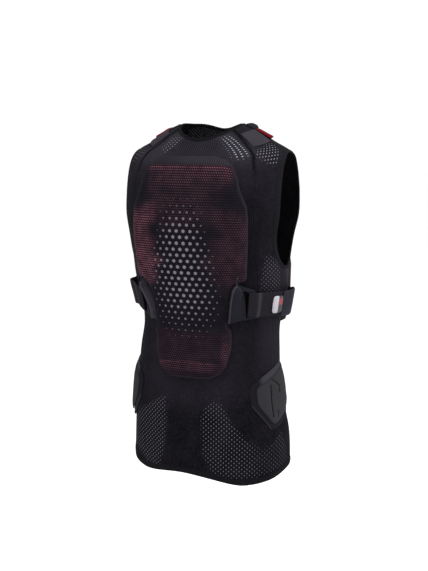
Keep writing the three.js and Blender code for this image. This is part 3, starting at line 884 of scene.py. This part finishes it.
def panel(name, columns, first, last, armhole=False):
    """A piece of knit between two seams, from the hem to the neck, with the armhole left open.

    first and last are seams: the angle they are measured from, and the way round.
    """
    share = np.linspace(0, 1, 168)[:, None]
    u = fine_ends(columns)[None]
    rough = level_at_length(lerp(length_at(level_at_height(HEM["bottom"])), LENGTHS[-1], share))
    angle = lerp(*(start + way * column("seam", rough) for start, way in (first, last)), u)
    low = length_at(hem_level(angle, HEM["band"] - 2))
    high = length_at(level_below_neck(angle, BINDING["width"] - 2))
    level = level_at_length(lerp(low, high, share))
    z = column("side", level)
    wide = girth(angle[:, -1:], level[:, -1:]) - girth(angle[:, :1], level[:, :1])
    from_seam = np.minimum(u, 1 - u) * np.abs(wide)
    dip = lerp(0.35, 1.0, smooth(z, -140, -90)) * bell(from_seam, 1.7)
    off = drape(angle, level) - dip
    strength, spot, grid = eyelets(angle, level)
    keep = in_armhole(np.abs(angle), level, 3.5) > 1 if armhole else None
    shape = slab(skin(angle, level, off), skin(angle, level, off - WALL), keep=keep)
    # The third zone number is painted light and shade on the knit.
    zone = np.stack([strength, rib_zone(angle, level), painted_light_zone(angle, level, from_seam)], -1)
    fabric = on_cloth(angle, level)
    return make(name, shape, KNIT, "knit", [name], fabric=fabric, zone=zone, eyelet=spot, grid=grid)


def edging(name, free, sewn, look, slot, corners=14, squareness=0.62):
    """A soft edging between a free edge and a sewn one, each (angle, level)."""
    t = np.linspace(0, 2 * np.pi, corners, endpoint=False)
    across = 0.5 - 0.5 * np.sign(np.cos(t)) * np.abs(np.cos(t)) ** squareness
    lift = np.sign(np.sin(t)) * np.abs(np.sin(t)) ** squareness
    angle, level = (lerp(a[:, None], b[:, None], across) for a, b in zip(free, sewn))
    off = (WALL / 2 + BINDING["proud"]) * lift - WALL / 2 + drape(angle, level)
    points = skin(angle, level, off)
    run = run_length(points.mean(1))[:, None]
    fabric = joined(run, np.linspace(0, 20, corners), 0.0)
    return make(name, ring(points), look, slot, [name], fabric=fabric)


def line_of_stitches(name, angle, level, proud, slot, **sizes):
    path = skin(angle, level, BINDING["proud"] * proud + drape(angle, level))
    return stitches(name, path, outward(angle, level), slot, **sizes)


SIDES = [("right", 1), ("left", -1)]
back_panel = panel("back_panel", 84, (0, -1), (0, 1))
front_panel = panel("front_panel", 84, (180, -1), (180, 1))
side_panels = {
    "right": panel("side_panel_right", 60, (0, 1), (180, -1), armhole=True),
    "left": panel("side_panel_left", 60, (-180, 1), (0, -1), armhole=True),
}

EDGE_TURNS = np.linspace(0, 360, 240, endpoint=False)
neck_edge = (EDGE_TURNS, np.full(len(EDGE_TURNS), float(NECK)))
neck_seam = (EDGE_TURNS, level_below_neck(EDGE_TURNS, BINDING["width"]))
neck_binding = edging("neck_binding", neck_edge, neck_seam, TRIM, "binding")
hem_edge, hem_seam = ((EDGE_TURNS, hem_level(EDGE_TURNS, above)) for above in (0, HEM["band"]))
hem_band = edging("hem_band", hem_edge, hem_seam, TRIM, "binding")
CLOSED_TURNS = np.append(EDGE_TURNS, 360.0)
hem_rows = [
    line_of_stitches(f"hem_stitches_{name}", CLOSED_TURNS, hem_level(CLOSED_TURNS, above), 0.9, "binding")
    for name, above in (("lower", 6.2), ("upper", 9.2))
]
neck_row = line_of_stitches(
    "neck_stitches", CLOSED_TURNS, level_below_neck(CLOSED_TURNS, 6.3), 0.8, "binding",
    pitch=2.6, length=1.8)

for name, hand in SIDES:
    circle = np.linspace(0, 2 * np.pi, 160, endpoint=False)
    edges = [armhole_edge(circle, grow) for grow in (0, BINDING["width"])]
    free, sewn = ((hand * angle, level) for angle, level in edges)
    binding = edging(f"armhole_binding_{name}", free, sewn, EDGE, "edge")
    angle, level = armhole_edge(np.append(circle, 2 * np.pi), 6.4)
    row = line_of_stitches(
        f"armhole_stitches_{name}", hand * angle, level, 0.85, "edge", pitch=2.8, length=2)


# The foam pads. Their zones lie between places sideways and heights, both in mm.


def pad_rows(outline, step):
    """Heights down a pad through every corner of its outline, closer together at both ends."""
    heights = [outline[0, 0]]
    low = outline[-1, 0]
    for (a, _), (b, _) in zip(outline, outline[1:]):
        fine = 1.1 if heights[0] - a < 8 or b - low < 8 else step
        heights += list(np.linspace(a, b, max(2, int(np.ceil((a - b) / fine)) + 1))[1:])
    return np.array(heights)


def pad_top(outline, size, spot):
    """How far a pad's face stands off the cloth at places, and their distance from its edge."""
    border = np.concatenate([outline, outline[::-1] * (1, -1)])
    from_edge = np.maximum(inside(spot, border[:, ::-1]), 0)
    dome = smooth(from_edge, 0, size["bevel"])
    top = size["gap"] + size["edge"] * quarter_round(from_edge / size["roll"])
    return top + (size["thick"] - size["edge"]) * dome, from_edge


def pad(name, outline, size, angle_of, columns, paint):
    """A crowned pad with a rolled edge; paint gives its zones and its relief."""
    z = pad_rows(outline, 2.6)[:, None]
    half = np.interp(-z, -outline[:, 0], outline[:, 1])
    span = fine_ends(columns, (0.0, 0.002, 0.005, 0.009, 0.014, 0.02, 0.028))[None] * 2 - 1
    x = span * half
    level = level_at_height(z)
    angle = angle_of(x + size["lean"] * smooth(-z, 358, 400), level)
    top, from_edge = pad_top(outline, size, joined(x, z))
    zone, lift = paint(x, z + 0 * x)
    outer = skin(angle, level, top + lift)
    inner = skin(angle, level, np.minimum(top - 0.6, REST * 0.3))
    # The third number paints the rim: red foam fades out at the edge, and a painted highlight goes in its
    # place.
    fabric = on_cloth(angle, level, 0.9 * smooth(-from_edge, -6, -1))
    shape = slab(outer, inner, rim=1)
    return make(name, shape, PAD, "mesh_over_foam", [name], corner=75, fabric=fabric, zone=zone)


def soft_box(x, z, left, right, low, high, blur):
    across = between(x, left - blur, left + blur, right - blur, right + blur)
    return across * between(z, low - blur, low + blur, high - blur, high + blur)


def paint_back(x, z):
    """How red the foam shows, the ribbed strip at the top and the size of the hexagons, and the relief."""
    side = np.abs(x)
    right = smooth(x, -20, 40)
    strip = smooth(z, -75, -69)
    hem = bell(z + 76, 3.2) * smooth(-side, -84, -70)
    ends = np.where(x < 0, 78 + 0.1 * (z + 73), 92)
    band = between(z, -140, -84, -78, -70) * smooth(-side, -ends - 3, -ends + 9)
    below = soft_box(side, z, -20, 62, -168, -100, 26)
    reach = 60 + 10 * np.sin(z / 17) + 4 * np.sin(z / 6.1)
    flank = smooth(side, reach - 22, reach + 16) * smooth(-z - 0.35 * (side - 90), 132, 162)
    flank = flank * smooth(z, -312, -272) * lerp(0.68, 0.21, right)
    top = np.where(x < 0, 70, 96)
    wedge = smooth(side + 0.3 * (z + 124), 66, 84) * smooth(-z, top, np.where(x < 0, 90, 112))
    wedge = wedge * smooth(z, -156, -134)
    lower = smooth(side, 52, 66) * smooth(-z, 368, 384) * lerp(0.1, 0.34, right * smooth(-z, 390, 404))
    curved = z + 0.0016 * side**2
    foot = smooth(-curved, 428, 440) * lerp(1, 0.35, smooth(-z, 450, 459))
    heart = soft_box(side, z, -20, 60, -440, -376, 18)
    crease = bell(curved + 436, 2.6) * smooth(-side, -64, -54)
    foam = [0.28 * band, 0.16 * below, flank, lower, 0.26 * foot, 0.12 * heart, 0.6 * crease]
    foam = np.maximum.reduce(foam) * (1 - 0.92 * wedge) * (1 - strip) + 0.3 * hem
    wide = 44 + 22 * smooth(-np.abs(z + 285), -130, -30)
    field = np.sqrt(np.clip(1 - (side / wide) ** 2, 0, 1)) * between(z, -436, -296, -190, -98)
    relief = 0.9 * soft_box(side, z, -20, 62, -420, -112, 10) - 0.7 * wedge + 0.5 * crease
    strip = strip * lerp(0.55, 1, smooth(x, -70, 30))
    return np.stack([foam, strip, field], -1), relief


def paint_chest(x, z):
    side = np.abs(x)
    foam = 0.35 * smooth(side, 40, 70) + 0.2
    middle = bell(side, 3.5) * between(z, -360, -340, -125, -105)
    return np.stack([foam, 0 * x, 0 * x], -1), -2.2 * middle


back_protector = pad("back_protector", BACK_OUTLINE, BACK_PAD, back_angle, 92, paint_back)
chest_protector = pad("chest_protector", CHEST_OUTLINE, CHEST_PAD, front_angle, 84, paint_chest)


def wing_start(side, z):
    """Inner edge of a wing, along the pad's outline; the left strap pulls its top outward."""
    pull = WING_PULL[side] * smooth(z, -345, -288)
    beside = np.interp(-z, -BACK_OUTLINE[:, 0], BACK_OUTLINE[:, 1]) + 1.6
    return np.minimum(beside + pull, WING_PULL["limit"])


def wing(side, hand):
    """A side wing with its slot, and the places of its grid: sideways, up and off the cloth."""
    name = f"wing_{side}"
    rows, columns = (6, 28, 5), (24, 4, 8)
    v = spaced((0, 0.105, 0.925, 1), rows)[:, None]
    inner = lerp(WING["top"], WING["bottom"], v)
    outer = lerp(WING["topEnd"], WING["bottomEnd"], v)
    start = wing_start(side, inner)
    stops = [start] + [np.full_like(start, stop) for stop in (SLOT["from"], SLOT["to"], WING["reach"])]
    x = [start]
    for a, b, count in zip(stops, stops[1:], columns):
        x.append(lerp(np.minimum(a, b - 2), b, np.linspace(0, 1, count + 1)[None, 1:]))
    x = np.concatenate(x, axis=1)
    u = (x - x[:, :1]) / (x[:, -1:] - x[:, :1])
    z = lerp(inner, outer, u)
    level = level_at_height(z)
    angle = hand * back_angle(x, level)
    lip = smooth(x, start, np.maximum(start + 9, 101))
    from_edge = np.minimum.reduce([v * 80 + 0 * u, (1 - v) * 80 + 0 * u, x - x[:, :1], x[:, -1:] - x])
    dish = 1.3 * np.sin(np.pi * v) * np.sin(np.pi * np.clip(u / 0.7, 0, 1))
    crease = bell(from_line(np.stack([x, z], -1), WING_CREASE), 1.2)
    low = REST + 1
    full = lerp(WING["lip"], WING["end"], lip) - low
    top = low + full * lerp(0.55, 1, quarter_round(from_edge / 5.5)) - dish + 0.8 * crease
    hole = (rows[0], rows[0] + rows[1], columns[0], columns[0] + columns[1])
    shape = slab(skin(angle, level, top), skin(angle, level, REST + 0 * top), hole=hole)
    # Painted highlight on the wing's inner edge and along its crease, and painted shadow, black, in and
    # round the slot.
    rim = smooth(x[:, :1] - x, -3.4, -0.6)
    from_slot = x - (SLOT["from"] + SLOT["to"]) / 2
    painted_slot_shadow = np.exp(-((from_slot / 3.6) ** 8)) * between(v, 0.08, 0.1, 0.93, 0.95)
    fabric = on_cloth(angle, level, 0.9 * painted_slot_shadow - np.maximum(rim, 0.5 * crease))
    free = smooth(from_edge, 2, 9) * smooth(np.abs(x - SLOT["seam"]), 4, 9) * (1 - crease)
    piece = make(name, shape, WING_CLOTH, "wing_cloth", [name], corner=70, free=free, fabric=fabric)
    return piece, (x, z, top)


def strap_lift(name, angle):
    return STRAP_STANCE[name]["lift"] * smooth(angle, 47.5, 59)


def strap_bulge(name, angle):
    return STRAP_STANCE[name]["bulge"] * smooth(angle, 52, 66) * (1 - smooth(angle, 82, 100))


def curve(points, each):
    points = np.asarray(points, float)
    return through(points, np.linspace(0, len(points) - 1, (len(points) - 1) * each + 1))


STRAP_LEVEL = level_at_height(STRAP["middle"])
STRAP_LINE = curve(
    [(float(girth(back_angle(x, STRAP_LEVEL), STRAP_LEVEL)), off) for x, off in STRAP_AT_SLOT]
    + [(float(girth(angle, STRAP_LEVEL)), off) for angle, off in STRAP_ROUND], 6)
ANGLES = np.linspace(0, 170, 341)
STRAP_GIRTH = girth(ANGLES, STRAP_LEVEL)


def strap(name, hand):
    run = unit(np.gradient(STRAP_LINE, axis=0))
    across = np.stack([-run[:, 1], run[:, 0]], 1)
    v = np.linspace(-1, 1, 15)
    y = v[:, None] * STRAP["height"] / 2
    edge = 1 - 0.25 * smooth(np.abs(v), 0.8, 1)
    cup = 0.35 * (np.abs(v) ** 3)

    def face(sign):
        line = STRAP_LINE[None] + sign * (STRAP["thick"] / 2) * edge[:, None, None] * across[None]
        angle = np.interp(line[..., 0], STRAP_GIRTH, ANGLES)
        z = STRAP["middle"] + strap_lift(name, angle) + y
        off = line[..., 1] - cup[:, None] + strap_bulge(name, angle) + 0.9 * bell(angle - 53.5, 1.6)
        return skin(hand * angle, level_at_height(z), off)

    shape = slab(face(1), face(-1))
    along = run_length(STRAP_LINE)
    turn = np.interp(STRAP_LINE[:, 0], STRAP_GIRTH, ANGLES)
    # Painted shadow: black where the strap runs inside the wing's slot. Painted highlight: lighter on the
    # fold near 54.5 degrees.
    painted_shadow_and_highlight = 1 - smooth(along, 6, 8.5) - 0.5 * bell(turn - 54.5, 1.3)
    fabric = joined(along, y, painted_shadow_and_highlight)
    return make(f"strap_{name}", shape, WEBBING, "webbing", [f"strap_{name}"], fabric=fabric)


def over_strap(name, part, angle):
    off = STRAP_ROUND[:, 1] + strap_bulge(name, STRAP_ROUND[:, 0])
    return np.interp(angle, STRAP_ROUND[:, 0], off) + STRAP["thick"] / 2 + part["gap"]


def on_strap(kind, name, hand, part, start, end, look, slot, crown, corner=4):
    """A flat piece on a strap, from one angle to another, with rounded corners and a crowned face."""
    u = np.linspace(0, 1, 41)
    v = np.linspace(-1, 1, 27)[:, None]
    length = (end - start) * DEGREE["straps"]
    tall = part["height"]
    near = np.minimum(u, 1 - u) * length
    inset = np.where(near < corner, corner - np.sqrt(np.maximum(corner**2 - (corner - near) ** 2, 0)), 0)
    y = v * (tall / 2 - inset)
    angle = lerp(start, end, u)[None] + 0 * v
    z = STRAP["middle"] + strap_lift(name, angle) + y
    level = level_at_height(z)
    from_edge = np.minimum(tall / 2 - inset - np.abs(y), near)
    rise = crown * smooth(from_edge, 0.4, 2.2) - crown
    low = over_strap(name, part, angle)
    shape = slab(skin(hand * angle, level, low + part["thick"] + rise), skin(hand * angle, level, low))
    if kind == "pull_tab":
        fabric = joined(u[None], (v + 1) / 2, 0.0)
    else:
        fabric = joined(u[None] * length, y, 0.0)
    return make(f"{kind}_{name}", shape, look, slot, [f"{kind}_{name}"], fabric=fabric, corner=50)


def rounded(corners, radius, steps):
    """Evenly spaced points round a polygon with rounded corners."""
    line = []
    for n, here in enumerate(corners):
        arrive = here + radius * unit(corners[n - 1] - here)
        leave = here + radius * unit(corners[(n + 1) % len(corners)] - here)
        t = np.linspace(0, 1, 9)[:, None]
        line.append((1 - t) ** 2 * arrive + 2 * t * (1 - t) * here + t**2 * leave)
    line = np.concatenate(line + [line[0][:1]])
    along = run_length(line)
    at = np.linspace(0, along[-1], steps, endpoint=False)
    return np.stack([np.interp(at, along, line[:, k]) for k in range(2)], 1)


# Slits of the hip pad: points sideways and up from its middle, in mm.
HIP_SLITS = [
    [(-19, 21), (-22, -40)],
    [(-16, 34), (2.5, 18), (1.5, 5)],
    [(-9, -29), (-10.5, -42)],
]


def hip_angle(point, level):
    each = np.linalg.norm(place(HIP["angle"], level) - place(HIP["angle"] - 30, level), axis=-1) / 30
    return HIP["angle"] + point[..., 0] / each


def hip(name, hand):
    """A hip pad: its flange, its raised core with slits, and a row of stitches round it."""
    outline = rounded(HIP_CORNERS, HIP["corner"], 120)
    reach = np.linalg.norm(outline, axis=1, keepdims=True)
    flange = outline * (1 + HIP["flange"] / reach)

    def on_hip(point, off):
        level = level_at_height(HIP["height"] + point[..., 1])
        return skin(hand * hip_angle(point, level), level, off)

    share = spaced((0.01, 0.82, 0.85, 1), (19, 1, 9))[:, None, None]
    point = share * flange
    low = 0.5
    off = low + 3.0 - 1.9 * smooth(share[..., 0], 0.93, 1) + 0.5 * bell(inside(point, outline) + 7, 2.2)
    shape = disc(on_hip(point, off), on_hip(point, low + 0 * off))
    # Painted highlight on the upper part of the flange and along one edge.
    upper = smooth(point @ (-0.5, 0.868), 33, 38) * smooth(point[..., 0], -50, -30)
    rim = bell(point @ (-0.85, -0.52) - 56, 1.6)
    fabric = np.concatenate([point, -np.maximum(0.56 * upper, 0.5 * rim)[..., None]], -1)
    node = f"hip_base_{name}"
    base = make(node, shape, FLANGE, "pad_cloth", [node], fabric=fabric)

    share = spaced((0.008, 0.8, 0.815, 1), (45, 1, 15))[:, None, None]
    point = share * outline
    from_edge = np.maximum(inside(point, outline), 0)
    bevel = 1.3 * np.clip(from_edge / 13, 0, 1) + 2.2 * quarter_round(from_edge / 3.2)
    groove = np.maximum.reduce([bell(from_line(point, line), 1.1) for line in HIP_SLITS])
    low = REST + HIP["flangeThick"] + 1.2 - 1.0 * smooth(-from_edge, -9, 0)
    off = low + 0.4 + bevel - 2.2 * groove
    shape = disc(on_hip(point, off), on_hip(point, low))
    # Painted shade: the slits turn near black.
    fabric = np.concatenate([point, groove[..., None]], -1)
    free = smooth(from_edge, 1.5, 8) * (1 - smooth(groove, 0.05, 0.5))
    node = f"hip_core_{name}"
    core = make(node, shape, PAD_CLOTH, "pad_cloth", [node], free=free, fabric=fabric)

    line = outline * (1 + 8 / reach)
    line = np.concatenate([line, line[:1]])
    level = level_at_height(HIP["height"] + line[:, 1])
    normal = outward(hand * hip_angle(line, level), level)
    row = stitches(f"hip_stitches_{name}", on_hip(line, 3.4), normal, "pad_cloth")
    return base, core, row


def shares(rows, columns):
    """Shares across and up a patch, and the distance to its edge."""
    v, u = np.meshgrid(np.linspace(0, 1, rows), np.linspace(0, 1, columns), indexing="ij")
    return u, v, np.minimum.reduce([u, 1 - u, v, 1 - v])


def on_shoulder(kind, name, hand, corners, u, v, low, top, look, slot, free=None):
    """A patch between four corners on the shoulder, from low to top off the cloth."""

    def mixed(k):
        inner = lerp(corners["innerBack"][k], corners["innerTop"][k], u)
        outer = lerp(corners["outerBack"][k], corners["outerTop"][k], u)
        return lerp(inner, outer, v)

    angle, level = hand * mixed(0), level_at_half(mixed(1))
    shape = slab(skin(angle, level, top), skin(angle, level, low))
    fabric = on_cloth(angle, level)
    return make(f"{kind}_{name}", shape, look, slot, [f"{kind}_{name}"], free=free, fabric=fabric)


def wing_piping(name, hand, x, z, top, radius=1.2, corners=10):
    """The rim along a wing's inner edge, whose upper end runs on over the back pad."""
    tip = 95 + 0.4 * WING_PULL[name]
    tail = np.array([(tip, -266), (tip - 1, -272), (lerp(x[0, 0], tip, 0.35), -279)])
    on_pad = pad_top(BACK_OUTLINE, BACK_PAD, tail)[0] + 0.6
    rim = np.column_stack([x[:, 0] + 1.0, z[:, 0], top[:, 0] + 0.5])[::5]
    x, z, off = curve(np.concatenate([np.column_stack([tail, on_pad]), rim]), 5).T
    level = level_at_height(z)
    angle = hand * back_angle(x, level)
    path = skin(angle, level, off)
    run = unit(np.gradient(path, axis=0))
    side = unit(np.cross(run, outward(angle, level)))
    share = np.linspace(0, 1, len(path))
    thick = radius * np.sqrt(np.clip(1 - (np.abs(2 * share - 1) ** 24), 0.02, 1))
    shape = cords(path[None], side[None], np.cross(side, run)[None], thick, corners)
    turn = np.linspace(0, 2 * np.pi, corners, endpoint=False)
    fabric = joined(turn * radius, (share * 90)[:, None], 0.0)
    return make(f"wing_piping_{name}", shape, PIPING, "wing_cloth", fabric=fabric)


pads = [back_protector, chest_protector]
for name, hand in SIDES:
    side_wing, edge = wing(name, hand)
    wing_piping(name, hand, *edge)
    band = strap(name, hand)
    joint = STRAP_END["from"][name]
    end = on_strap("strap_end", name, hand, STRAP_END, joint, STRAP_END["to"], STRAP_CLOTH, "webbing", 0.7)
    joint -= 0.5
    on_strap("pull_tab", name, hand, PULL_TAB, joint - PULL_TAB["length"], joint, GREY, "grey_rubber", 0.8)
    base, core, _ = hip(name, hand)

    u, v, near = shares(22, 26)
    low, top = 0.6 + 0 * u, 1.3 + 1.1 * smooth(near, 0, 0.06)
    patch = on_shoulder("shoulder_patch", name, hand, PATCH, u, v, low, top, PATCH_CLOTH, "edge")
    u, v, near = shares(24, 30)
    low = 0.4 + 0 * u
    top = REST + 0.8 + FLAP_THICK[name] * lerp(0.1, 1, np.sqrt(smooth(near, -0.02, 0.3)))
    free = smooth(near, 0.04, 0.3)
    flap = on_shoulder("shoulder_flap", name, hand, FLAP, u, v, low, top, FLAP_CLOTH, "binding", free)
    u, v, near = shares(20, 18)
    low = lerp(0.6, REST + 0.4 + TAB_TILT[name], u) + TAB_LIFT * v * v * u
    top = REST - 0.2 + TAB_THICK[name] + TAB_TILT[name] * u + TAB_LIFT * v * v
    tag = on_shoulder("brace_tab", name, hand, TAB, u, v, low, top, RED, "red_cloth")
    pads += [side_wing, base, core, flap]

settle()


# Stage, lights and camera.


def placed(name, data):
    piece = bpy.data.objects.new(name, data)
    bpy.context.scene.collection.objects.link(piece)
    return piece


def aimed(piece, spot, target):
    piece.location = spot
    piece.rotation_euler = (Vector(target) - Vector(spot)).to_track_quat("-Z", "Y").to_euler()


FLOOR = {"half": 30.0, "level": -1.15}
CORNERS = [(-1, -1), (1, -1), (1, 1), (-1, 1)]
floor_mesh = bpy.data.meshes.new("floor")
floor_mesh.from_pydata(
    [(x * FLOOR["half"], y * FLOOR["half"], FLOOR["level"]) for x, y in CORNERS], [], [(0, 1, 2, 3)])
floor = placed("floor", floor_mesh)
pale = Look("pale_floor", roughness=0.9, specular=0.1)
pale.set("Base Color", pale.mix(pale.noise(3.0), (0.95, 0.95, 0.95, 1), (0.975, 0.975, 0.975, 1)))
floor_mesh.materials.append(pale.material)

AMBIENT = 1.06
world = bpy.data.worlds.new("studio")
world.use_nodes = True
world.node_tree.nodes["Background"].inputs[0].default_value = (1, 1, 1, 1)
world.node_tree.nodes["Background"].inputs[1].default_value = AMBIENT
bpy.context.scene.world = world

MIDDLE = (0, 0, -0.32)
# Lamps: place, width and height, and power.
LAMPS = {
    "over": ((-0.5, 0.9, 2.0), (2.4, 2.0), 55),
    "right": ((-2.6, 0.6, 0.5), (1.4, 2.2), 14),
    "left": ((1.6, 2.2, 0.6), (1.4, 2.2), 10),
    "rim": ((-2.2, -1.6, 0.4), (0.8, 2.2), 40),
}
for name, (spot, size, power) in LAMPS.items():
    light = bpy.data.lights.new(name, "AREA")
    light.shape = "RECTANGLE"
    light.size, light.size_y = size
    light.energy = power
    aimed(placed(name, light), spot, MIDDLE)

AZIMUTH = math.radians(205)
DISTANCE = 2.36
AIM = {"height": -0.303, "sideways": 0.0031}
camera = placed("camera", bpy.data.cameras.new("camera"))
camera.data.sensor_width = 36
camera.data.lens = 76.29
camera.data.clip_end = 100
spot = Vector((math.sin(AZIMUTH), -math.cos(AZIMUTH), 0)) * DISTANCE
sideways = Vector((math.cos(AZIMUTH), math.sin(AZIMUTH), 0)) * AIM["sideways"]
aimed(camera, spot, Vector((0, 0, AIM["height"])) + sideways)
bpy.context.scene.camera = camera
bpy.context.scene.view_settings.view_transform = "Standard"
